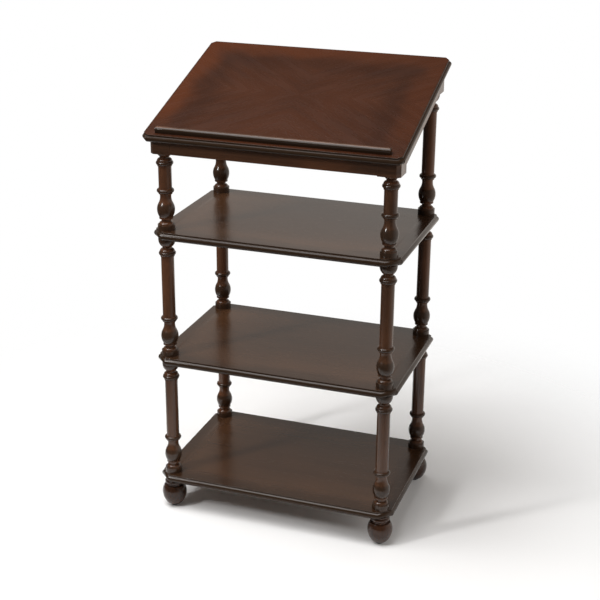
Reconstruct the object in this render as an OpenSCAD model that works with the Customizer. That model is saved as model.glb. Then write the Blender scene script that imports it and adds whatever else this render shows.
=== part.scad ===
// Four-level library stand: three open shelves on turned posts, under a sloping reading desk.
// Millimetres. X runs left to right, Y runs front to back, Z runs up from the floor.
// Origin: on the floor, under the middle of the desk's outline.

/* [Shelves] */
// Width of each shelf
shelf_w = 560; // [440:5:700]
// Depth of each shelf, front to back
shelf_d = 370; // [300:5:450]
// Thickness of each shelf
shelf_t = 18; // [15:0.5:26]
// Leg of the 45 degree cut at each corner of a shelf
shelf_clip = 29; // [10:1:32]
// Distance from the edges of a shelf to the middle of a post
post_inset = 30; // [25:0.5:60]

/* [Desk] */
// Thickness of the desk board
desk_t = 18; // [15:0.5:26]
// Slope of the desk, in degrees above level
desk_tilt = 18.7; // [6:0.1:24]
// How far the desk board stands out past the frame, left and right
desk_over_side = 11; // [9:0.5:60]
// How far the desk board stands out past the frame, front and back
desk_over_end = 18.5; // [14:0.5:60]
// Leg of the 45 degree cut at each corner of the desk board
desk_clip = 12; // [6:1:20]
// Height of the book ledge above the desk
ledge_h = 12; // [9:0.5:25]
// Thickness of the book ledge, front to back
ledge_t = 12; // [9:0.5:20]
// Distance from each end of the ledge to the side of the desk
ledge_end = 30; // [12:1:120]
// Distance from the front edge of the desk to the ledge
ledge_setback = 13.5; // [9:0.5:40]
// Height of the rounded crown of the ledge
ledge_crown = 3; // [1:0.5:4]
// Cut on the upper ends of the ledge
ledge_end_cut = 3; // [1:0.5:6]

/* [Moulded edge] */
// Width of the step round the top of every board
rim_w = 4.5; // [2:0.5:7]
// Depth of the step round the top of every board
rim_h = 3; // [1:0.5:5]
// Number of narrow flats that round the nose under the step
nose_flats = 12; // [6:1:16]

/* [Frame under the desk] */
// Height of the rails under the desk board
rail_depth = 31; // [25:0.5:60]
// Thickness of the rails
rail_t = 18; // [14:0.5:22]
// Side of the square corner blocks
block_side = 48; // [44:1:58]
// Cut on the outer corner of each corner block
block_chamfer = 8; // [2:0.5:10]
// How far the corner blocks hang below the rails
block_drop = 1.5; // [0.5:0.5:6]

/* [Posts] */
// Height of a full post, from one shelf to the next
post_h = 277; // [231:1:400]
// Diameter of the plain shaft
shaft_d = 28.6; // [24:0.2:30]
// Diameter of the drum a post stands on
drum_d = 38; // [36:0.5:42]
// Height of the drum
drum_h = 12; // [8:0.5:15]
// Diameter of the narrow necks
neck_d = 21; // [18:0.5:25]
// Height of the neck under the vase turning
neck_h = 6.5; // [4:0.5:8]
// Diameter of the thin disc at the foot of the vase turning
vase_disc_d = 30.4; // [28:0.2:32]
// Largest diameter of the vase turning
vase_d = 38.8; // [34:0.2:42]
// Height from the foot of the vase turning to its widest part
vase_rise = 17.5; // [13:0.5:21]
// Height from the widest part of the vase turning to its throat
throat_rise = 28; // [22:0.5:34]
// Diameter of the throat
throat_d = 24.4; // [20:0.2:27]
// Outer diameter of the turned rings
ring_d = 37.6; // [34:0.2:42]
// Thickness of the turned rings
ring_t = 9.2; // [6:0.2:10]
// Diameter of the bell at the top of a post
bell_d = 38; // [34:0.5:42]
// Part of the bell cut away at the top of the short front posts
bell_cut = 13; // [4:0.5:16]

/* [Feet] */
// Height of the wooden foot
foot_h = 66; // [60:1:90]
// Largest diameter of the foot
foot_d = 56; // [50:1:68]
// Diameter of the collar at the top of the foot
collar_d = 43; // [39:0.5:48]
// Diameter of the flat at the bottom of the foot
foot_base_d = 23; // [22:0.5:28]
// Diameter of the glide under the foot
glide_d = 19; // [14:0.5:21]
// Height of the glide
glide_h = 4; // [3:0.5:8]

/* [Hidden fixings] */
// Diameter of the threaded studs
stud_d = 8; // [6:0.5:9]
// Outer diameter of the threaded inserts
insert_d = 12; // [11:0.5:14]
// Length of the threaded inserts
insert_l = 18; // [12:1:24]
// Length of stud held in the piece above the joint
stud_up = 24; // [14:1:28]
// Length of stud screwed into the insert below the joint
stud_down = 16; // [10:1:22]
// Diameter of the dowels in the frame
dowel_d = 8; // [6:0.5:10]
// Length of the dowels in the frame
dowel_l = 28; // [16:1:28]
// Shank diameter of the ledge screws
ledge_screw_d = 4; // [3:0.25:5]
// Number of ledge screws
ledge_screw_n = 4; // [2:1:8]
// Distance from the end of the ledge to its first screw
ledge_screw_in = 45; // [15:5:120]
// Shank diameter of the desk screws
desk_screw_d = 4.5; // [3.5:0.25:4.5]
// Distance of a desk screw from the middle of its post, both ways
desk_screw_off = 17; // [15:0.5:17]
// Length of a desk screw held in the desk board
desk_screw_bite = 11; // [7:0.5:12]
// Diameter of the pin of a glide
pin_d = 3; // [2:0.25:5]
// Length of the pin of a glide
pin_l = 12; // [8:1:20]

/* [Fits] */
// Gap all round a stud where it passes through a shelf
shelf_hole_gap = 0.5; // [0.2:0.1:1]
// Gap all round a stud, insert, dowel, screw or pin in its own bore
bore_gap = 0.1; // [0.05:0.05:0.3]
// Free depth left past the end of a fixing in its bore
end_gap = 2; // [1:0.5:3]

/* [Hidden] */
$fn = 64;

// Finishes
wood = [0.27, 0.13, 0.09];
wood_face = [0.36, 0.18, 0.11];
wood_pale = [0.72, 0.58, 0.40];
steel = [0.70, 0.70, 0.72];
brass = [0.78, 0.62, 0.32];
black = [0.08, 0.08, 0.08];

// Corners, as left or right and front or back
corners = [[-1, -1], [1, -1], [-1, 1], [1, 1]];

// Post positions
half_x = shelf_w / 2 - post_inset;
half_y = shelf_d / 2 - post_inset;

// Frame outline
block_half = block_side / 2;
frame_x = half_x + block_half;
frame_y = half_y + block_half;
block_in_x = half_x - block_half;
block_in_y = half_y - block_half;

// Undersides of the shelves, lower to upper
level_h = shelf_t + post_h;
lower_z = glide_h + foot_h;
middle_z = lower_z + level_h;
upper_z = middle_z + level_h;

// The back posts of the upper level are full height and set the height of the desk
upper_top_z = upper_z + shelf_t;
back_block_z = upper_top_z + post_h;
slope = tan(desk_tilt);
rail_z = back_block_z + block_drop - block_in_y * slope;
under_z = rail_z + rail_depth;
front_block_z = rail_z - block_drop - frame_y * slope;
short_post_h = front_block_z - upper_top_z;

// Heights of the sloping rail line and of the underside of the desk board at a given Y
function rail_at(y) = rail_z + y * slope;
function under_at(y) = under_z + y * slope;

// Desk board, measured in its own sloping plane
desk_w = 2 * (frame_x + desk_over_side);
desk_nose = nose_r(desk_t);
desk_l = 2 * ((frame_y + desk_over_end - desk_nose) / cos(desk_tilt) + desk_nose);
desk_y = -(rim_h + desk_nose) * sin(desk_tilt);
desk_z = under_at(desk_y) + desk_t / cos(desk_tilt);
ledge_l = desk_w - 2 * ledge_end;
ledge_y = ledge_setback - desk_l / 2;

// Radius of the rounded nose below the step of a moulded edge
function nose_r(t) = (t - rim_h) / 2;

// Turning radii
neck_r = neck_d / 2;
ring_r = ring_t / 2;
step_in = 2.5;
bead_r = 1.5;
bead_h = 3;
// The rings sit this far into the beads beside them
ring_sink = 0.6;
// The domed caps spring from a step inside the drum and run into the neck
cap_r = drum_d / 2 - step_in - neck_r + 1;
cap_x = neck_r - 1;
// The throat runs out to a thin bead under the lower ring
throat_run = 7;
vase_foot_in = 0.9;

// Heights up a post from its foot
neck_z = drum_h + cap_r;
disc_z = neck_z + neck_h;
vase_z = disc_z + bead_h;
belly_z = vase_z + vase_rise;
s_mid_z = belly_z + throat_rise / 2;
throat_z = belly_z + throat_rise;
bead_z = throat_z + throat_run;
low_ring_z = bead_z + bead_h + ring_r - ring_sink;

// Distances down from the untrimmed top of a post
bell_lip = 4;
bell_h = 17.5;
top_neck = bell_lip + bell_h;
top_cap = top_neck + neck_h / 2 + cap_r;
top_ring = top_cap + ring_r - ring_sink;
top_bead = top_ring + ring_r - ring_sink;

// Radii of the arcs
belly_dr = vase_d / 2 - vase_disc_d / 2 + vase_foot_in;
belly_r = (vase_rise * vase_rise + belly_dr * belly_dr) / (2 * belly_dr);
s_dr = (vase_d - throat_d) / 4;
s_r = (throat_rise * throat_rise / 4 + s_dr * s_dr) / (2 * s_dr);
bell_dr = bell_d / 2 - neck_r;
bell_r = (bell_h * bell_h + bell_dr * bell_dr) / (2 * bell_dr);

// Foot, measured up from its flat bottom
foot_collar_h = 15;
foot_groove_h = 1.5;
foot_groove_in = 2.5;
foot_heel_r = 17.6;
foot_heel_h = 3.5;
foot_shoulder_in = 5.5;
foot_shoulder_h = 17.5;
shoulder_z = foot_h - foot_collar_h - foot_groove_h;
foot_belly_z = shoulder_z - foot_shoulder_h;
collar_bead_r = 6.5;
collar_core_r = collar_d / 2 - foot_groove_in;
heel_dr = foot_d / 2 - foot_heel_r;
heel_dz = foot_belly_z - foot_heel_h;
foot_low_r = (heel_dz * heel_dz + heel_dr * heel_dr) / (2 * heel_dr);
foot_up_r = (foot_shoulder_h * foot_shoulder_h + foot_shoulder_in * foot_shoulder_in)
    / (2 * foot_shoulder_in);

// Fixings
stud_bore_r = stud_d / 2 + bore_gap;
insert_bore_r = insert_d / 2 + bore_gap;
insert_bore_l = max(insert_l, stud_down) + end_gap;
tip = 1;
head_ratio = 1;
head_sink = 1;
glide_edge = 1.2;
desk_screw_x = half_x - desk_screw_off;
desk_screw_l = rail_depth + block_drop + desk_screw_bite - head_sink;
ledge_screw_l = desk_t + ledge_h - end_gap - tip;
ledge_screw_pitch = (ledge_l - 2 * ledge_screw_in) / (ledge_screw_n - 1);
over = 1;

// ---- shared shapes ----

// Cross-section of a board with a stepped and rounded edge on both sides.
// The nose is worked in narrow flats from its underside up to the step.
module edge_section(half, t) {
    r = nose_r(t);
    last = acos(max(0, r - rim_w) / r);
    nose = [
        for (i = [0 : nose_flats])
            let (a = -90 + (90 + last) * i / nose_flats)
            [half - r + r * cos(a), r + r * sin(a)]
    ];
    edge = concat(nose, [[half - rim_w, r + r * sin(last)], [half - rim_w, t]]);
    polygon(concat(edge, [for (i = [len(edge) - 1 : -1 : 0]) [-edge[i][0], edge[i][1]]]));
}

// The cross-section run out along Y, turned about the upright axis
module edge_run(half, t, turn, run) {
    rotate([0, 0, turn])
        rotate([90, 0, 0])
            linear_extrude(height = run, center = true)
                edge_section(half, t);
}

// Board with cut corners and the moulded edge mitred all the way round
module moulded_board(w, d, t, clip) {
    run = w + d;
    diagonal = (w + d - 2 * clip) / sqrt(8);
    intersection() {
        edge_run(w / 2, t, 0, run);
        edge_run(d / 2, t, 90, run);
        edge_run(diagonal, t, 45, run);
        edge_run(diagonal, t, -45, run);
    }
}

// Polygon in Y and Z run out along X
module yz_run(x0, x1, points) {
    translate([x0, 0, 0])
        rotate([90, 0, 90])
            linear_extrude(height = x1 - x0)
                polygon(points);
}

// Places a child at a post position
module at_corner(c, z) {
    translate([c[0] * half_x, c[1] * half_y, z])
        children();
}

// Places a child in the plane of the desk, with Z = 0 on its top face
module on_desk() {
    translate([0, desk_y, desk_z])
        rotate([desk_tilt, 0, 0])
            children();
}

// Round pin with small chamfers, standing on Z = 0
module chamfered_pin(r, l) {
    rotate_extrude()
        polygon([[0, 0], [r - tip, 0], [r, tip], [r, l - tip], [r - tip, l], [0, l]]);
}

// Countersunk screw standing on its head at Z = 0, or the bore for it when gap is more than 0
module screw(d, l, gap, deeper) {
    r = d / 2 + gap;
    head = d * head_ratio + gap;
    end = l + deeper;
    rotate_extrude()
        polygon([[0, 0], [head, 0], [r, head - r], [r, end - d], [gap, end], [0, end]]);
}

// ---- turned work ----

// Half outline of a full post of height h
module post_outline(h) {
    square([neck_r, h]);
    square([drum_d / 2, drum_h]);
    intersection() {
        translate([cap_x, drum_h])
            circle(cap_r);
        translate([0, drum_h])
            square([drum_d / 2, cap_r + over]);
    }
    translate([0, disc_z])
        square([vase_disc_d / 2, bead_h]);
    intersection() {
        translate([vase_d / 2 - belly_r, belly_z])
            circle(belly_r);
        translate([0, vase_z])
            square([vase_d, vase_rise]);
    }
    intersection() {
        translate([vase_d / 2 - s_r, belly_z])
            circle(s_r);
        translate([0, belly_z])
            square([vase_d, throat_rise / 2]);
    }
    difference() {
        translate([0, s_mid_z])
            square([vase_d / 2, throat_rise / 2 + throat_run]);
        translate([throat_d / 2 + s_r, throat_z])
            circle(s_r);
    }
    translate([0, bead_z])
        square([shaft_d / 2 + bead_r / 2, bead_h]);
    translate([ring_d / 2 - ring_r, low_ring_z])
        circle(ring_r);
    translate([0, bead_z + bead_h])
        square([shaft_d / 2, h - top_cap - bead_z - bead_h]);
    translate([0, h - top_bead - bead_h])
        square([shaft_d / 2 + bead_r, bead_h]);
    translate([ring_d / 2 - ring_r, h - top_ring])
        circle(ring_r);
    intersection() {
        translate([cap_x, h - top_cap])
            circle(cap_r);
        translate([0, h - top_cap])
            square([drum_d / 2, cap_r + over]);
    }
    intersection() {
        translate([bell_d / 2 - bell_r, h - bell_lip])
            circle(bell_r);
        translate([0, h - top_neck])
            square([bell_d, bell_h]);
    }
    translate([0, h - bell_lip])
        square([bell_d / 2, bell_lip]);
}

// Turned post of height h, made from a full outline that is cut millimetres taller
module turned_post(h, cut) {
    difference() {
        rotate_extrude()
            intersection() {
                post_outline(h + cut);
                square([drum_d + bell_d, h]);
            }
        translate([0, 0, -over])
            cylinder(r = stud_bore_r, h = stud_up + end_gap + over);
        translate([0, 0, h - insert_bore_l])
            cylinder(r = insert_bore_r, h = insert_bore_l + over);
    }
}

// Half outline of a foot
module foot_outline() {
    polygon([
        [0, 0], [foot_base_d / 2, 0], [foot_heel_r, foot_heel_h], [0, foot_heel_h]
    ]);
    intersection() {
        translate([foot_d / 2 - foot_low_r, foot_belly_z])
            circle(foot_low_r);
        translate([0, foot_heel_h])
            square([foot_d, heel_dz]);
    }
    intersection() {
        translate([foot_d / 2 - foot_up_r, foot_belly_z])
            circle(foot_up_r);
        translate([0, foot_belly_z])
            square([foot_d, foot_shoulder_h]);
    }
    translate([0, shoulder_z])
        square([collar_core_r, foot_h - shoulder_z]);
    translate([collar_d / 2 - collar_bead_r, foot_h - foot_collar_h / 2])
        circle(collar_bead_r);
}

module turned_foot() {
    difference() {
        rotate_extrude()
            foot_outline();
        translate([0, 0, foot_h - insert_bore_l])
            cylinder(r = insert_bore_r, h = insert_bore_l + over);
        translate([0, 0, -over])
            cylinder(r = pin_d / 2 + bore_gap, h = pin_l + end_gap + over);
    }
}

module glide() {
    r = glide_d / 2;
    rotate_extrude()
        polygon([
            [0, 0], [r - glide_edge, 0], [r, glide_edge], [r, glide_h],
            [pin_d / 2, glide_h], [pin_d / 2, glide_h + pin_l - pin_d], [0, glide_h + pin_l]
        ]);
}

// ---- boards and frame ----

module shelf(z) {
    difference() {
        translate([0, 0, z])
            moulded_board(shelf_w, shelf_d, shelf_t, shelf_clip);
        for (c = corners)
            at_corner(c, z - over)
                cylinder(r = stud_d / 2 + shelf_hole_gap, h = shelf_t + 2 * over);
    }
}

function block_z(c) = c[1] < 0 ? front_block_z : back_block_z;
function desk_screw_y(c) = c[1] * half_y - c[1] * desk_screw_off;
function desk_screw_top(c) = under_at(desk_screw_y(c)) + desk_screw_bite;
function desk_screw_z(c) = desk_screw_top(c) - desk_screw_l;

// Desk screws, or their bores
module desk_screw_at(c, gap, deeper) {
    translate([c[0] * desk_screw_x, desk_screw_y(c), desk_screw_z(c)])
        screw(desk_screw_d, desk_screw_l, gap, deeper);
}

// Ledge screws, or their bores, driven up through the desk board
module ledge_screw_row(gap, deeper) {
    on_desk()
        for (i = [0 : ledge_screw_n - 1])
            translate([(i - (ledge_screw_n - 1) / 2) * ledge_screw_pitch, ledge_y + ledge_t / 2, -desk_t])
                screw(ledge_screw_d, ledge_screw_l, gap, deeper);
}

// Dowels between the rails and a corner block, or their bores
module dowels_at(c, r, l) {
    y_rail = frame_y - rail_t / 2;
    y_low = c[1] < 0 ? -frame_y : frame_y - rail_t;
    translate([c[0] * block_in_x, c[1] * y_rail, (rail_at(y_low) + under_at(y_low)) / 2])
        rotate([0, 90, 0])
            translate([0, 0, -l / 2])
                chamfered_pin(r, l);
    y_end = c[1] * block_in_y;
    translate([c[0] * (frame_x - rail_t / 2), y_end, (rail_at(y_end) + under_at(y_end)) / 2])
        rotate([90, 0, 0])
            translate([0, 0, -l / 2])
                chamfered_pin(r, l);
}

module dowel_bores(c) {
    dowels_at(c, dowel_d / 2 + bore_gap, dowel_l + 2 * end_gap);
}

// Square block with a cut outer corner, level below and sloping above
module corner_block(c) {
    bottom = block_z(c);
    y0 = c[1] * half_y - block_half;
    y1 = c[1] * half_y + block_half;
    cut = block_half - block_chamfer;
    difference() {
        intersection() {
            yz_run(-frame_x, frame_x, [
                [y0, bottom], [y1, bottom], [y1, under_at(y1)], [y0, under_at(y0)]
            ]);
            at_corner(c, bottom - over)
                linear_extrude(height = under_at(y1) - bottom + 2 * over)
                    polygon([
                        [-c[0] * block_half, -c[1] * block_half], [c[0] * block_half, -c[1] * block_half],
                        [c[0] * block_half, c[1] * cut], [c[0] * cut, c[1] * block_half],
                        [-c[0] * block_half, c[1] * block_half]
                    ]);
        }
        at_corner(c, bottom - over)
            cylinder(r = stud_bore_r, h = stud_up + end_gap + over);
        desk_screw_at(c, bore_gap, 0);
        translate([c[0] * desk_screw_x, desk_screw_y(c), bottom - over])
            cylinder(r = desk_screw_d + 2 * bore_gap, h = desk_screw_z(c) - bottom + over);
        dowel_bores(c);
    }
}

module side_rail(x0) {
    difference() {
        yz_run(x0, x0 + rail_t, [
            [-block_in_y, rail_at(-block_in_y)], [block_in_y, rail_at(block_in_y)],
            [block_in_y, under_at(block_in_y)], [-block_in_y, under_at(-block_in_y)]
        ]);
        for (c = corners)
            dowel_bores(c);
    }
}

// Rail across the frame whose lower face is level, from y0 back by the rail thickness
module cross_rail(y0) {
    y1 = y0 + rail_t;
    difference() {
        yz_run(-block_in_x, block_in_x, [
            [y0, rail_at(y0)], [y1, rail_at(y0)], [y1, under_at(y1)], [y0, under_at(y0)]
        ]);
        for (c = corners)
            dowel_bores(c);
    }
}

module desk_board() {
    color(wood_face)
        difference() {
            on_desk()
                translate([0, 0, -desk_t])
                    moulded_board(desk_w, desk_l, desk_t, desk_clip);
            ledge_screw_row(bore_gap, 0);
            for (c = corners)
                desk_screw_at(c, bore_gap, end_gap / 2);
        }
}

// Cross-section of the ledge, with a rounded crown
module ledge_section() {
    r = (ledge_t * ledge_t / 4 + ledge_crown * ledge_crown) / (2 * ledge_crown);
    square([ledge_t, ledge_h - ledge_crown]);
    intersection() {
        translate([ledge_t / 2, ledge_h - r])
            circle(r);
        square([ledge_t, ledge_h]);
    }
}

// Outline of the ledge seen from the front, with its upper ends cut
module ledge_front() {
    end = ledge_l / 2;
    polygon([
        [-end, 0], [end, 0], [end, ledge_h - ledge_end_cut], [end - ledge_end_cut, ledge_h + over],
        [ledge_end_cut - end, ledge_h + over], [-end, ledge_h - ledge_end_cut]
    ]);
}

module book_ledge() {
    color(wood)
        difference() {
            on_desk()
                intersection() {
                    translate([-ledge_l / 2, ledge_y, 0])
                        rotate([90, 0, 90])
                            linear_extrude(height = ledge_l)
                                ledge_section();
                    translate([0, ledge_y + ledge_t + over, 0])
                        rotate([90, 0, 0])
                            linear_extrude(height = ledge_t + 2 * over)
                                ledge_front();
                }
            ledge_screw_row(bore_gap, tip);
        }
}

module rail_front() { color(wood) cross_rail(-frame_y); }
module rail_back() { color(wood) cross_rail(frame_y - rail_t); }
module rail_left() { color(wood) side_rail(-frame_x); }
module rail_right() { color(wood) side_rail(frame_x - rail_t); }

module block_front_left() { color(wood) corner_block(corners[0]); }
module block_front_right() { color(wood) corner_block(corners[1]); }
module block_back_left() { color(wood) corner_block(corners[2]); }
module block_back_right() { color(wood) corner_block(corners[3]); }

module shelf_upper() { color(wood_face) shelf(upper_z); }
module shelf_middle() { color(wood_face) shelf(middle_z); }
module shelf_lower() { color(wood_face) shelf(lower_z); }

module short_post(c) { color(wood) at_corner(c, upper_top_z) turned_post(short_post_h, bell_cut); }
module full_post(c, z) { color(wood) at_corner(c, z + shelf_t) turned_post(post_h, 0); }

module post_upper_front_left() { short_post(corners[0]); }
module post_upper_front_right() { short_post(corners[1]); }
module post_upper_back_left() { full_post(corners[2], upper_z); }
module post_upper_back_right() { full_post(corners[3], upper_z); }
module post_middle_front_left() { full_post(corners[0], middle_z); }
module post_middle_front_right() { full_post(corners[1], middle_z); }
module post_middle_back_left() { full_post(corners[2], middle_z); }
module post_middle_back_right() { full_post(corners[3], middle_z); }
module post_lower_front_left() { full_post(corners[0], lower_z); }
module post_lower_front_right() { full_post(corners[1], lower_z); }
module post_lower_back_left() { full_post(corners[2], lower_z); }
module post_lower_back_right() { full_post(corners[3], lower_z); }

module foot_at(c) { color(wood) at_corner(c, glide_h) turned_foot(); }
module foot_front_left() { foot_at(corners[0]); }
module foot_front_right() { foot_at(corners[1]); }
module foot_back_left() { foot_at(corners[2]); }
module foot_back_right() { foot_at(corners[3]); }

module glide_at(c) { color(black) at_corner(c, 0) glide(); }
module glide_front_left() { glide_at(corners[0]); }
module glide_front_right() { glide_at(corners[1]); }
module glide_back_left() { glide_at(corners[2]); }
module glide_back_right() { glide_at(corners[3]); }

// ---- fixings ----

// Studs through one shelf into the inserts below it
module shelf_studs(z) {
    color(steel)
        for (c = corners)
            at_corner(c, z - stud_down)
                chamfered_pin(stud_d / 2, stud_down + shelf_t + stud_up);
}

module studs_desk() {
    color(steel)
        for (c = corners)
            at_corner(c, block_z(c) - stud_down)
                chamfered_pin(stud_d / 2, stud_down + stud_up);
}

module studs_upper_shelf() { shelf_studs(upper_z); }
module studs_middle_shelf() { shelf_studs(middle_z); }
module studs_lower_shelf() { shelf_studs(lower_z); }

// Threaded sleeve hanging down from Z = 0
module insert_sleeve() {
    translate([0, 0, -insert_l])
        difference() {
            cylinder(r = insert_d / 2, h = insert_l);
            translate([0, 0, -over])
                cylinder(r = stud_bore_r, h = insert_l + 2 * over);
        }
}

module inserts_below(z) {
    color(brass)
        for (c = corners)
            at_corner(c, z)
                insert_sleeve();
}

module inserts_upper_posts() {
    color(brass)
        for (c = corners)
            at_corner(c, block_z(c))
                insert_sleeve();
}

module inserts_middle_posts() { inserts_below(upper_z); }
module inserts_lower_posts() { inserts_below(middle_z); }
module inserts_feet() { inserts_below(lower_z); }

module ledge_screws() { color(steel) ledge_screw_row(0, 0); }

module desk_screws() {
    color(steel)
        for (c = corners)
            desk_screw_at(c, 0, 0);
}

module rail_dowels() {
    color(wood_pale)
        for (c = corners)
            dowels_at(c, dowel_d / 2, dowel_l);
}

desk_board();
book_ledge();
rail_front();
rail_back();
rail_left();
rail_right();
block_front_left();
block_front_right();
block_back_left();
block_back_right();
shelf_upper();
shelf_middle();
shelf_lower();
post_upper_front_left();
post_upper_front_right();
post_upper_back_left();
post_upper_back_right();
post_middle_front_left();
post_middle_front_right();
post_middle_back_left();
post_middle_back_right();
post_lower_front_left();
post_lower_front_right();
post_lower_back_left();
post_lower_back_right();
foot_front_left();
foot_front_right();
foot_back_left();
foot_back_right();
glide_front_left();
glide_front_right();
glide_back_left();
glide_back_right();
studs_desk();
studs_upper_shelf();
studs_middle_shelf();
studs_lower_shelf();
inserts_upper_posts();
inserts_middle_posts();
inserts_lower_posts();
inserts_feet();
ledge_screws();
desk_screws();
rail_dowels();
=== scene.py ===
import math

import bpy
from mathutils import Matrix, Vector


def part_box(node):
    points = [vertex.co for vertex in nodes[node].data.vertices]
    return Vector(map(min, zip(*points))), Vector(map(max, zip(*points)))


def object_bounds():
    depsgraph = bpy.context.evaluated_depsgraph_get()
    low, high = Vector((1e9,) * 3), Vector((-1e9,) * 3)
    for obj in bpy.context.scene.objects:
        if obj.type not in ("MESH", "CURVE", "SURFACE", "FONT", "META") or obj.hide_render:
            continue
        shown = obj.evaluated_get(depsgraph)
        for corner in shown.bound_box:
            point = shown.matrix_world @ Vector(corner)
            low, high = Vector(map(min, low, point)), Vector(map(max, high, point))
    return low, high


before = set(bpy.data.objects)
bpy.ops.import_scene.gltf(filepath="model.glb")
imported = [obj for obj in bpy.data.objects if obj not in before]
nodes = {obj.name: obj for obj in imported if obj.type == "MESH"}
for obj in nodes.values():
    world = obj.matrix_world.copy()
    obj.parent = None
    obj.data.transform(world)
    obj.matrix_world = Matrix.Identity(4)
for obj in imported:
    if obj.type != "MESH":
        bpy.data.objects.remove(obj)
cad_low, cad_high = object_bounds()

# ---- camera, at the photograph's viewing angle: degrees, metres, and millimetres for the lens ----

CAM_AZIMUTH = 19.13
CAM_ELEVATION = 21.20
CAM_DISTANCE = 2.972
CAM_TARGET = Vector((0.0036, 0.0, 0.4910))
CAM_LENS = 78.70
CAM_ROLL = 0.44
SENSOR_WIDTH = 36


def direction(azimuth, elevation):
    """Unit vector from the object towards a viewer at these angles, in degrees."""
    a, e = math.radians(azimuth), math.radians(elevation)
    return Vector((math.sin(a) * math.cos(e), -math.cos(a) * math.cos(e), math.sin(e)))


def make_camera():
    """A plain camera without shift, aimed at CAM_TARGET and rolled a little."""
    data = bpy.data.cameras.new("camera")
    data.lens = CAM_LENS
    data.sensor_width = SENSOR_WIDTH
    camera = bpy.data.objects.new("camera", data)
    bpy.context.scene.collection.objects.link(camera)
    back = direction(CAM_AZIMUTH, CAM_ELEVATION)
    level = Vector((math.cos(math.radians(CAM_AZIMUTH)), math.sin(math.radians(CAM_AZIMUTH)), 0))
    upright = back.cross(level)
    roll = math.radians(CAM_ROLL)
    right = level * math.cos(roll) + upright * math.sin(roll)
    up = upright * math.cos(roll) - level * math.sin(roll)
    camera.location = CAM_TARGET + CAM_DISTANCE * back
    camera.rotation_mode = "QUATERNION"
    camera.rotation_quaternion = Matrix((right, up, back)).transposed().to_quaternion()
    bpy.context.scene.camera = camera


make_camera()

# ---- node helpers ----

# how far a bevelled normal leans before an edge counts as sharp, as the cosine of the lean
EDGE_LEAN = (0.99, 0.80)
# ambient occlusion, from where a recess starts to where it is full
RECESS_LIGHT = (0.75, 0.25)
# share of the normal that points up or down, from the flat of a board to its nose
NOSE_TURN = (0.93, 0.70)


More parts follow.
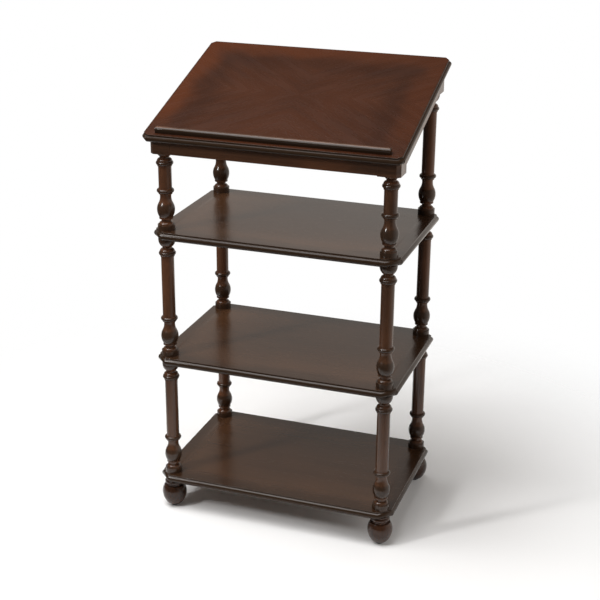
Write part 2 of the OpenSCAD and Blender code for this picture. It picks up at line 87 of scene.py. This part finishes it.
class Graph:
    """A small builder for one material's node tree."""

    def __init__(self, name):
        self.material = bpy.data.materials.new(name)
        self.material.use_nodes = True
        self.tree = self.material.node_tree
        self.shader = self.tree.nodes["Principled BSDF"]

    def add(self, kind, **settings):
        node = self.tree.nodes.new(kind)
        for key, value in settings.items():
            setattr(node, key, value)
        return node

    def put(self, socket, value):
        if isinstance(value, bpy.types.NodeSocket):
            self.tree.links.new(value, socket)
        else:
            socket.default_value = value

    def math(self, operation, a, b=0.0):
        node = self.add("ShaderNodeMath", operation=operation)
        self.put(node.inputs[0], a)
        self.put(node.inputs[1], b)
        return node.outputs[0]

    def span(self, value, low, high, to_low=0.0, to_high=1.0, smooth=False):
        node = self.add("ShaderNodeMapRange")
        if smooth:
            node.interpolation_type = "SMOOTHSTEP"
        for socket, v in zip(node.inputs, (value, low, high, to_low, to_high)):
            self.put(socket, v)
        return node.outputs[0]

    def noise(self, vector, scale, detail=3.0, rough=0.5, distort=0.0):
        node = self.add("ShaderNodeTexNoise")
        self.put(node.inputs["Vector"], vector)
        self.put(node.inputs["Scale"], scale)
        self.put(node.inputs["Detail"], detail)
        self.put(node.inputs["Roughness"], rough)
        self.put(node.inputs["Distortion"], distort)
        return node.outputs["Fac"]

    def times(self, a, b):
        return self.math("MULTIPLY", a, b)

    def mix(self, factor, a, b):
        node = self.add("ShaderNodeMix", data_type="RGBA")
        self.put(node.inputs["Factor"], factor)
        self.put(node.inputs["A"], a)
        self.put(node.inputs["B"], b)
        return node.outputs["Result"]

    def xyz(self, x, y, z):
        node = self.add("ShaderNodeCombineXYZ")
        for socket, v in zip(node.inputs, (x, y, z)):
            self.put(socket, v)
        return node.outputs[0]

    def place(self):
        node = self.add("ShaderNodeTexCoord")
        return node.outputs["Object"]

    def split(self, vector):
        node = self.add("ShaderNodeSeparateXYZ")
        self.put(node.inputs[0], vector)
        return node.outputs

    def scaled(self, vector, x, y, z, turn=0.0):
        node = self.add("ShaderNodeMapping")
        self.put(node.inputs["Vector"], vector)
        node.inputs["Scale"].default_value = (x, y, z)
        node.inputs["Rotation"].default_value = (0, 0, turn)
        return node.outputs[0]

    def edge_wear(self, radius):
        """About 1 on sharp edges and 0 on flats, by how far a bevelled normal leans."""
        bevel = self.add("ShaderNodeBevel", samples=4)
        bevel.inputs["Radius"].default_value = radius
        geometry = self.add("ShaderNodeNewGeometry")
        dot = self.add("ShaderNodeVectorMath", operation="DOT_PRODUCT")
        self.put(dot.inputs[0], bevel.outputs[0])
        self.put(dot.inputs[1], geometry.outputs["True Normal"])
        return self.span(dot.outputs["Value"], *EDGE_LEAN)

    def recess(self, reach):
        """About 1 deep in a groove or corner and 0 in the open, by ambient occlusion; it masks painted
        shade.
        """
        shade = self.add("ShaderNodeAmbientOcclusion", samples=6)
        shade.inputs["Distance"].default_value = reach
        return self.span(shade.outputs["AO"], *RECESS_LIGHT)

    def rounded_off(self):
        """About 1 on the nose and lip round a board and 0 on its top and underside; it masks the painted
        nose shade.
        """
        geometry = self.add("ShaderNodeNewGeometry")
        turn = self.add("ShaderNodeVectorTransform", vector_type="NORMAL",
                        convert_from="WORLD", convert_to="OBJECT")
        self.put(turn.inputs[0], geometry.outputs["True Normal"])
        upward = self.split(turn.outputs[0])[2]
        return self.span(self.math("ABSOLUTE", upward), *NOSE_TURN)

    def length(self, vector):
        node = self.add("ShaderNodeVectorMath", operation="LENGTH")
        self.put(node.inputs[0], vector)
        return node.outputs["Value"]

    def bump(self, height, strength, distance):
        """Sends a height to the shader's normal."""
        node = self.add("ShaderNodeBump")
        node.inputs["Strength"].default_value = strength
        node.inputs["Distance"].default_value = distance
        self.put(node.inputs["Height"], height)
        self.put(self.shader.inputs["Normal"], node.outputs[0])


def tone_of(colour, factor):
    """The same hue, lighter or darker."""
    return tuple(min(1.0, c * factor) for c in colour[:3]) + (1,)


def grain_space(g, grain):
    """The object's coordinates with the chosen grain direction turned onto the last axis."""
    x, y, z = g.split(g.place())
    order = {"x": (y, z, x), "y": (x, z, y), "z": (x, y, z)}[grain]
    return g.xyz(*order)


# Wood texture: scales across and along the grain, per metre
STREAK_SIZE = (210, 7)
PORE_SIZE = (1500, 45)
GLOSS_SIZE = (60, 9)
DRIFT_SIZE = 5.0
WEAR_SIZE = 38.0
FIGURE_SHARE, STREAK_SHARE = 0.6, 0.4
TONE_SPAN = (0.36, 0.64)
DRIFT_SPAN = (0.42, 0.68, 0.0, 0.75)
PORE_SPAN = (0.60, 0.72)
WEAR_SPAN = (0.35, 0.62)
WEAR_REACH = 0.0014
RECESS_REACH = 0.006
# How strongly each feature colours, dulls or lifts the surface
PORE_COLOUR, PORE_DULL, PORE_DEPTH, STREAK_DEPTH = 0.55, 0.12, 0.8, 0.35
# painted shade in recesses: how strongly ambient occlusion darkens them, and how much it dulls them
RECESS_SHADE_PAINT, GRIME_DULL = 0.8, 0.25
SHADE_TONE, PORE_TONE, WEAR_TONE, RECESS_SHADE_TONE = 0.5, 0.45, 1.8, 0.25
GLOSS_BELOW, GLOSS_ABOVE = 0.05, 0.07
NOSE_POLISH = 0.10
NOSE_SPECULAR = (0.5, 0.22)
COAT_ROUGHNESS = 0.16
WOOD_RELIEF = 0.0004


def stained_wood(name, grain, dark, mid, warm, rough=0.18, coat=0.06, seed=0.0, space=None,
                 glow=None, shade=None, wear=0.5, figure_size=(26, 2.2), ior=1.45, relief=0.07,
                 painted_nose_shade=None, open_grain=1.0, stain=None):
    """Lacquered wood: long grain streaks, fine pores, slow colour drift and worn edges.

    glow is a mask and its colour; shade is a mask for the colour stain; the rim colour is painted shade on
    the nose.
    """
    g = Graph(name)
    where = space(g) if space else grain_space(g, grain)
    shift = g.add("ShaderNodeVectorMath", operation="ADD")
    g.put(shift.inputs[0], where)
    shift.inputs[1].default_value = (seed, seed * 1.7, seed * 0.6)
    where = shift.outputs[0]

    def along_grain(size, detail, harshness=0.5, distort=0.0):
        across, along = size
        return g.noise(g.scaled(where, across, across, along), 1.0, detail, harshness, distort)

    figure = along_grain(figure_size, 4.0, 0.55, 0.6)
    streak = along_grain(STREAK_SIZE, 3.0, 0.6)
    pore = along_grain(PORE_SIZE, 2.0)
    drift = g.noise(where, DRIFT_SIZE, 2.0)
    tone = g.math("ADD", g.times(figure, FIGURE_SHARE), g.times(streak, STREAK_SHARE))
    colour = g.mix(g.span(tone, *TONE_SPAN), dark, mid)
    colour = g.mix(g.span(drift, *DRIFT_SPAN), colour, warm)
    if glow:
        colour = g.mix(glow[0](g), colour, glow[1])
    if shade:
        colour = g.mix(shade(g), colour, stain or tone_of(dark, SHADE_TONE))
    pits = g.span(pore, *PORE_SPAN)
    colour = g.mix(g.times(pits, PORE_COLOUR * open_grain), colour, tone_of(dark, PORE_TONE))
    worn = g.times(g.edge_wear(WEAR_REACH), wear)
    worn = g.times(worn, g.span(g.noise(where, WEAR_SIZE), *WEAR_SPAN))
    colour = g.mix(worn, colour, tone_of(warm, WEAR_TONE))
    polish = 0.0
    # painted shade: the nose of a board, which turns away from the light, is coloured darker than its top
    if painted_nose_shade:
        nose = g.rounded_off()
        colour = g.mix(nose, colour, painted_nose_shade)
        polish = g.times(nose, NOSE_POLISH)
        g.put(g.shader.inputs["Specular IOR Level"], g.span(nose, 0.0, 1.0, *NOSE_SPECULAR))
    # painted shade: recesses found by ambient occlusion are darkened, and dulled a little
    recess_shade_and_grime = g.times(g.recess(RECESS_REACH), RECESS_SHADE_PAINT)
    colour = g.mix(recess_shade_and_grime, colour, tone_of(dark, RECESS_SHADE_TONE))
    g.put(g.shader.inputs["Base Color"], colour)

    gloss = g.span(along_grain(GLOSS_SIZE, 3.0), 0.3, 0.7,
                   rough - GLOSS_BELOW * open_grain, rough + GLOSS_ABOVE * open_grain)
    dull = g.math("ADD", g.times(pits, PORE_DULL * open_grain), g.times(recess_shade_and_grime, GRIME_DULL))
    dull = g.math("SUBTRACT", dull, polish)
    g.put(g.shader.inputs["Roughness"], g.math("ADD", gloss, dull))
    g.shader.inputs["IOR"].default_value = ior
    g.shader.inputs["Coat Weight"].default_value = coat
    g.shader.inputs["Coat Roughness"].default_value = COAT_ROUGHNESS
    height = g.math("SUBTRACT", g.times(streak, STREAK_DEPTH), g.times(pits, PORE_DEPTH))
    g.bump(height, relief, WOOD_RELIEF)
    return g.material


SMALL_RELIEF = 0.0002
TARNISH_TONE = 0.72
SCUFFED_PLASTIC = (0.06, 0.058, 0.055, 1)


def metal(name, colour, rough, brushed):
    """Turned metal: faint rings along its own axis and a cloudy plating."""
    g = Graph(name)
    rings = g.noise(g.scaled(g.place(), 60, 60, 2600), 1.0, 2.0)
    cloud = g.noise(g.place(), 90.0)
    tint = g.mix(g.span(cloud, 0.35, 0.7), colour, tone_of(colour, TARNISH_TONE))
    g.put(g.shader.inputs["Base Color"], tint)
    g.shader.inputs["Metallic"].default_value = 1.0
    g.put(g.shader.inputs["Roughness"], g.span(cloud, 0.3, 0.7, rough, rough + 0.15))
    g.bump(rings, brushed, SMALL_RELIEF)
    return g.material


def moulded_plastic(name, colour):
    """Matt moulded plastic with a fine spark-eroded grain."""
    g = Graph(name)
    grit = g.noise(g.place(), 1800.0, 2.0)
    scuff = g.noise(g.place(), 120.0, 4.0, 0.7)
    g.put(g.shader.inputs["Base Color"], g.mix(g.span(scuff, 0.5, 0.75), colour, SCUFFED_PLASTIC))
    g.put(g.shader.inputs["Roughness"], g.span(scuff, 0.3, 0.7, 0.48, 0.66))
    g.bump(grit, 0.25, SMALL_RELIEF)
    return g.material


# ---- finishes ----

DARK = (0.034, 0.0145, 0.0072, 1)
MID = (0.081, 0.0370, 0.0190, 1)
WARM = (0.120, 0.0465, 0.0215, 1)
# painted shade for the noses of the boards, darker than their tops
PAINTED_NOSE_SHADE = (0.028, 0.0155, 0.0088, 1)

desk_low, desk_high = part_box("desk_board")
desk_mid_y = (desk_low.y + desk_high.y) / 2
post_low, post_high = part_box(sorted(n for n in nodes if "post_" in n and not n.startswith("inserts"))[0])
shelf_low, shelf_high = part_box(sorted(n for n in nodes if n.startswith("shelf_"))[0])

VENEER_TURN = -36
# Radii from the axis of a post: the plain shaft ends and the rings and vases begin
SHAFT_RADIUS, TURNING_RADIUS = 0.0146, 0.0175


def matched_veneer(g):
    """Four mirrored quarters whose grain fans out diagonally from the middle of the desk."""
    x, y, z = g.split(g.place())
    across = g.math("ABSOLUTE", x)
    along = g.math("ABSOLUTE", g.math("SUBTRACT", y, desk_mid_y))
    wave = g.times(g.noise(g.place(), 7.0, 2.0), 0.06)
    across = g.math("ADD", across, wave)
    along = g.math("ADD", along, g.times(wave, 0.7))
    quarter = g.xyz(across, along, z)
    turned = g.split(g.scaled(quarter, 1, 1, 0.2, math.radians(VENEER_TURN)))
    return g.xyz(turned[1], turned[2], turned[0])


def unevenly_inside(g, side, end, scale, depth):
    """The lesser of two distances from the rim, made uneven."""
    wobble = g.times(g.noise(g.place(), scale), depth)
    return g.math("SUBTRACT", g.math("MINIMUM", side, end), wobble)


def inside_desk(g, x, y):
    """Distances from the sides and from the back edge of the desk, and how far inside both."""
    side = g.math("SUBTRACT", (desk_high.x - desk_low.x) / 2, g.math("ABSOLUTE", x))
    end = g.math("SUBTRACT", desk_high.y, y)
    return side, end, unevenly_inside(g, side, end, 12.0, 0.07)


def inner_band(g):
    """A darker shaded band inside the rubbed border."""
    x, y, _ = g.split(g.place())
    inside = inside_desk(g, x, y)[2]
    begins = g.span(inside, -0.005, 0.035, smooth=True)
    ends = g.span(inside, 0.085, 0.04, smooth=True)
    return g.times(g.times(begins, ends), 0.35)


def full_turnings(g):
    """About 0.7 on the rings, vases and drums, which are stained deeper than the plain shaft."""
    x, y, _ = g.split(g.place())
    out_x = g.math("SUBTRACT", g.math("ABSOLUTE", x), abs(post_low.x + post_high.x) / 2)
    out_y = g.math("SUBTRACT", g.math("ABSOLUTE", y), abs(post_low.y + post_high.y) / 2)
    radius = g.length(g.xyz(out_x, out_y, 0.0))
    return g.span(radius, SHAFT_RADIUS, TURNING_RADIUS, 0.0, 0.72, True)


def shaded_rim(g):
    """A soft dark band round the top of a shelf, darkest at its edge."""
    x, y, _ = g.split(g.place())
    side = g.math("SUBTRACT", (shelf_high.x - shelf_low.x) / 2, g.math("ABSOLUTE", x))
    end = g.math("SUBTRACT", (shelf_high.y - shelf_low.y) / 2, g.math("ABSOLUTE", y))
    inside = unevenly_inside(g, side, end, 9.0, 0.05)
    return g.span(inside, 0.035, -0.015, 0.0, 0.9, True)


def rubbed_border(g):
    """Towards the back and the sides of the desk, where the stain is rubbed thinner."""
    x, y, _ = g.split(g.place())
    side, end, inside = inside_desk(g, x, y)
    fade = g.span(inside, 0.045, -0.015, 0.0, 1.0, True)
    side_lip = g.span(side, 0.006, 0.009)
    back_lip = g.span(end, 0.008, 0.012)
    fade = g.times(fade, g.times(side_lip, back_lip))
    left = g.span(x, 0.30, -0.28, 0.35, 0.9)
    front = g.span(y, desk_low.y + 0.03, desk_low.y + 0.10)
    return g.times(fade, g.times(left, front))


turned_finish = stained_wood("stained_wood_turned", "z", DARK, MID, WARM, seed=0.3, ior=1.41,
                             shade=full_turnings, stain=(0.022, 0.0135, 0.0082, 1))
cross_finish = stained_wood("stained_wood_cross", "x", DARK, MID, WARM, seed=1.1)
ledge_finish = stained_wood("stained_wood_ledge", "x", DARK, MID, WARM, seed=1.9, painted_nose_shade=PAINTED_NOSE_SHADE)
side_finish = stained_wood("stained_wood_side", "y", DARK, MID, WARM, seed=2.3)
foot_finish = stained_wood("stained_wood_feet", "z", (0.020, 0.0082, 0.0040, 1),
                           (0.044, 0.0175, 0.0080, 1), (0.064, 0.0230, 0.0095, 1),
                           seed=5.2, ior=1.40)
shelf_finish = stained_wood("shelf_veneer", "x", (0.062, 0.0285, 0.0135, 1),
                            (0.078, 0.0360, 0.0172, 1), (0.092, 0.0400, 0.0175, 1),
                            rough=0.24, seed=3.1, wear=0.3, coat=0.05, relief=0.015, painted_nose_shade=PAINTED_NOSE_SHADE,
                            open_grain=0.3, shade=shaded_rim)
desk_finish = stained_wood("desk_veneer", "x", (0.032, 0.0098, 0.0040, 1),
                           (0.045, 0.0138, 0.0055, 1), (0.053, 0.0160, 0.0062, 1),
                           rough=0.26, seed=4.7, space=matched_veneer,
                           glow=(rubbed_border, (0.066, 0.0165, 0.0042, 1)), shade=inner_band,
                           coat=0.03, figure_size=(60, 2.6), wear=0.3, ior=1.36, relief=0.03,
                           painted_nose_shade=PAINTED_NOSE_SHADE, open_grain=0.6)
dowel_finish = stained_wood("beech_dowel", "x", (0.36, 0.24, 0.13, 1), (0.55, 0.39, 0.23, 1),
                            (0.60, 0.42, 0.25, 1), rough=0.55, coat=0.0, seed=6.0, wear=0.0)
steel_finish = metal("plated_steel", (0.62, 0.62, 0.64, 1), 0.28, 0.2)
brass_finish = metal("insert_brass", (0.60, 0.42, 0.16, 1), 0.30, 0.3)
glide_finish = moulded_plastic("glide_black", (0.012, 0.012, 0.012, 1))


def finish_for(name):
    if name == "desk_board":
        return desk_finish
    if name.startswith("shelf_"):
        return shelf_finish
    if name.startswith("foot_"):
        return foot_finish
    if name.startswith("glide_"):
        return glide_finish
    if name.startswith("inserts_"):
        return brass_finish
    if name.startswith("studs_") or name.endswith("_screws"):
        return steel_finish
    if name == "rail_dowels":
        return dowel_finish
    if name in ("rail_left", "rail_right"):
        return side_finish
    if name == "book_ledge":
        return ledge_finish
    if name in ("rail_front", "rail_back") or name.startswith("block_"):
        return cross_finish
    return turned_finish


# ---- modifiers that soften the CAD pieces without touching their meshes ----

SHARP_ANGLE = math.radians(32)
SHORTEST_EASED = 0.004
WELD_REACH = 2e-6
EASED_SEGMENTS = 3
EASED_WIDTH = 0.0006
EASED_LEDGE_WIDTH = 0.0008
EASED_PIECES = ("desk_board", "rail_front", "rail_back", "rail_left", "rail_right")


def smooth_by_angle(limit):
    """Geometry nodes that shade smooth across edges flatter than the limit.

    The sharper edges are given a bevel weight if they are long, so that only those are eased.
    """
    tree = bpy.data.node_groups.new("smooth_by_angle", "GeometryNodeTree")
    tree.interface.new_socket("Geometry", in_out="INPUT", socket_type="NodeSocketGeometry")
    tree.interface.new_socket("Geometry", in_out="OUTPUT", socket_type="NodeSocketGeometry")
    start = tree.nodes.new("NodeGroupInput")
    end = tree.nodes.new("NodeGroupOutput")

    def compare(value, operation, than):
        node = tree.nodes.new("FunctionNodeCompare")
        node.operation = operation
        node.inputs["B"].default_value = than
        tree.links.new(value, node.inputs["A"])
        return node.outputs[0]

    plain = tree.nodes.new("GeometryNodeRemoveAttribute")
    plain.inputs["Name"].default_value = "custom_normal"
    faces = tree.nodes.new("GeometryNodeSetShadeSmooth")
    faces.domain = "FACE"
    edges = tree.nodes.new("GeometryNodeSetShadeSmooth")
    edges.domain = "EDGE"
    angle = tree.nodes.new("GeometryNodeInputMeshEdgeAngle").outputs["Unsigned Angle"]
    tree.links.new(start.outputs[0], plain.inputs["Geometry"])
    tree.links.new(plain.outputs[0], faces.inputs["Geometry"])
    tree.links.new(faces.outputs[0], edges.inputs["Geometry"])
    tree.links.new(compare(angle, "LESS_THAN", limit), edges.inputs["Shade Smooth"])

    ends = tree.nodes.new("GeometryNodeInputMeshEdgeVertices")
    length = tree.nodes.new("ShaderNodeVectorMath")
    length.operation = "DISTANCE"
    tree.links.new(ends.outputs["Position 1"], length.inputs[0])
    tree.links.new(ends.outputs["Position 2"], length.inputs[1])
    eased = tree.nodes.new("FunctionNodeBooleanMath")
    eased.operation = "AND"
    long_enough = compare(length.outputs["Value"], "GREATER_THAN", SHORTEST_EASED)
    tree.links.new(long_enough, eased.inputs[0])
    tree.links.new(compare(angle, "GREATER_THAN", limit), eased.inputs[1])
    weight = tree.nodes.new("GeometryNodeStoreNamedAttribute")
    weight.domain = "EDGE"
    weight.data_type = "FLOAT"
    weight.inputs["Name"].default_value = "bevel_weight_edge"
    tree.links.new(edges.outputs[0], weight.inputs["Geometry"])
    tree.links.new(eased.outputs[0], weight.inputs["Value"])
    tree.links.new(weight.outputs[0], end.inputs[0])
    return tree


SMOOTHING = smooth_by_angle(SHARP_ANGLE)


def eased_width(name):
    """How wide the eased edges of a piece are; turned pieces and hardware have none."""
    if name == "book_ledge":
        return EASED_LEDGE_WIDTH
    if name in EASED_PIECES or name.startswith(("shelf_", "block_")):
        return EASED_WIDTH
    return 0.0


def soften(obj, width):
    """Smooth shading for one piece, and eased edges where a width is given."""
    weld = obj.modifiers.new("weld", "WELD")
    weld.merge_threshold = WELD_REACH
    smooth = obj.modifiers.new("smooth", "NODES")
    smooth.node_group = SMOOTHING
    if width:
        bevel = obj.modifiers.new("bevel", "BEVEL")
        bevel.width = width
        bevel.segments = EASED_SEGMENTS
        bevel.limit_method = "WEIGHT"
        flats = obj.modifiers.new("flats", "WEIGHTED_NORMAL")
        flats.mode = "FACE_AREA"
        flats.keep_sharp = False


for name, obj in nodes.items():
    finish = finish_for(name)
    for slot in obj.material_slots:
        slot.material = finish
    if not obj.material_slots:
        obj.data.materials.append(finish)
    soften(obj, eased_width(name))


# ---- floor, light and surroundings ----

FLOOR_RADIUS = 3.2
FLOOR_SIDES = 64
FLOOR_FADE = (0.42, 1.25)
FLOOR_TONES = ((0.90, 0.895, 0.89, 1), (0.94, 0.935, 0.93, 1))
FLOOR_ROUGHNESS, FLOOR_SPECULAR = 0.7, 0.2

# White paper stands to this side; it is brightest where the view turns fully towards it
PAPER_SIDE = (0.62, 0.78, 0.0)
PAPER_SPREAD = (-0.3, 0.9)
PAPER_HEIGHT = (0.25, 0.75)
PAPER_TINT = (1.0, 0.93, 0.86, 1)
PAPER_LIGHT = 0.80
ROOM_LIGHT = 0.10


def studio_floor():
    """White paper on the floor that fades into the white surroundings away from the object."""
    mesh = bpy.data.meshes.new("floor")
    ring = [(FLOOR_RADIUS * math.cos(2 * math.pi * i / FLOOR_SIDES),
             FLOOR_RADIUS * math.sin(2 * math.pi * i / FLOOR_SIDES), 0) for i in range(FLOOR_SIDES)]
    mesh.from_pydata(ring, [], [tuple(range(FLOOR_SIDES))])
    floor = bpy.data.objects.new("floor", mesh)
    bpy.context.scene.collection.objects.link(floor)
    floor.location.z = cad_low.z
    g = Graph("studio_floor")
    where = g.place()
    g.put(g.shader.inputs["Base Color"], g.mix(g.noise(where, 2.0, 2.0), *FLOOR_TONES))
    g.shader.inputs["Roughness"].default_value = FLOOR_ROUGHNESS
    g.shader.inputs["Specular IOR Level"].default_value = FLOOR_SPECULAR
    g.put(g.shader.inputs["Alpha"], g.span(g.length(where), *FLOOR_FADE, 1.0, 0.0, True))
    floor.data.materials.append(g.material)


def soft_box(name, azimuth, elevation, distance, size, power, mirrored=True):
    """A rectangular light aimed at the middle of the object, seen or not seen in reflections."""
    light = bpy.data.lights.new(name, "AREA")
    light.shape = "RECTANGLE"
    light.size, light.size_y = size
    light.energy = power
    lamp = bpy.data.objects.new(name, light)
    bpy.context.scene.collection.objects.link(lamp)
    centre = (cad_low + cad_high) / 2
    way = direction(azimuth, elevation)
    lamp.location = centre + way * distance
    lamp.visible_glossy = mirrored
    lamp.rotation_mode = "QUATERNION"
    lamp.rotation_quaternion = (-way).to_track_quat("-Z", "Y")


def ranged(tree, value, low, high, to_low, to_high):
    """A smooth ramp from one value to another in the node tree of the world."""
    node = tree.nodes.new("ShaderNodeMapRange")
    node.interpolation_type = "SMOOTHSTEP"
    for socket, v in zip(node.inputs[1:], (low, high, to_low, to_high)):
        socket.default_value = v
    tree.links.new(value, node.inputs[0])
    return node.outputs[0]


def studio_world():
    """White paper low down behind the object and to its right; a dimmer room above and in front."""
    world = bpy.data.worlds.new("studio")
    world.use_nodes = True
    tree = world.node_tree
    background = tree.nodes["Background"]
    where = tree.nodes.new("ShaderNodeTexCoord").outputs["Generated"]
    split = tree.nodes.new("ShaderNodeSeparateXYZ")
    tree.links.new(where, split.inputs[0])
    low_down = ranged(tree, split.outputs["Z"], *PAPER_HEIGHT, 1.0, 0.0)
    side = tree.nodes.new("ShaderNodeVectorMath")
    side.operation = "DOT_PRODUCT"
    side.inputs[1].default_value = PAPER_SIDE
    tree.links.new(where, side.inputs[0])
    paper = ranged(tree, side.outputs["Value"], *PAPER_SPREAD, 0.0, PAPER_LIGHT)
    glow = tree.nodes.new("ShaderNodeMath")
    glow.operation = "MULTIPLY_ADD"
    tree.links.new(low_down, glow.inputs[0])
    tree.links.new(paper, glow.inputs[1])
    glow.inputs[2].default_value = ROOM_LIGHT

    # plain white where the camera looks past the object
    camera_ray = tree.nodes.new("ShaderNodeLightPath").outputs["Is Camera Ray"]
    seen = tree.nodes.new("ShaderNodeMix")
    seen.inputs["B"].default_value = 1.0
    tree.links.new(camera_ray, seen.inputs["Factor"])
    tree.links.new(glow.outputs[0], seen.inputs["A"])
    tint = tree.nodes.new("ShaderNodeMix")
    tint.data_type = "RGBA"
    tint.inputs["A"].default_value = PAPER_TINT
    tint.inputs["B"].default_value = (1, 1, 1, 1)
    tree.links.new(camera_ray, tint.inputs["Factor"])
    tree.links.new(tint.outputs["Result"], background.inputs["Color"])
    tree.links.new(seen.outputs["Result"], background.inputs["Strength"])
    bpy.context.scene.world = world


studio_floor()
soft_box("overhead", azimuth=-50, elevation=70, distance=3.0, size=(2.6, 2.6), power=126)
soft_box("key", azimuth=-42, elevation=32, distance=3.0, size=(0.25, 0.6), power=32)
soft_box("fill", azimuth=80, elevation=20, distance=3.2, size=(1.2, 2.0), power=26, mirrored=False)
studio_world()
bpy.context.scene.view_settings.view_transform = "Standard"
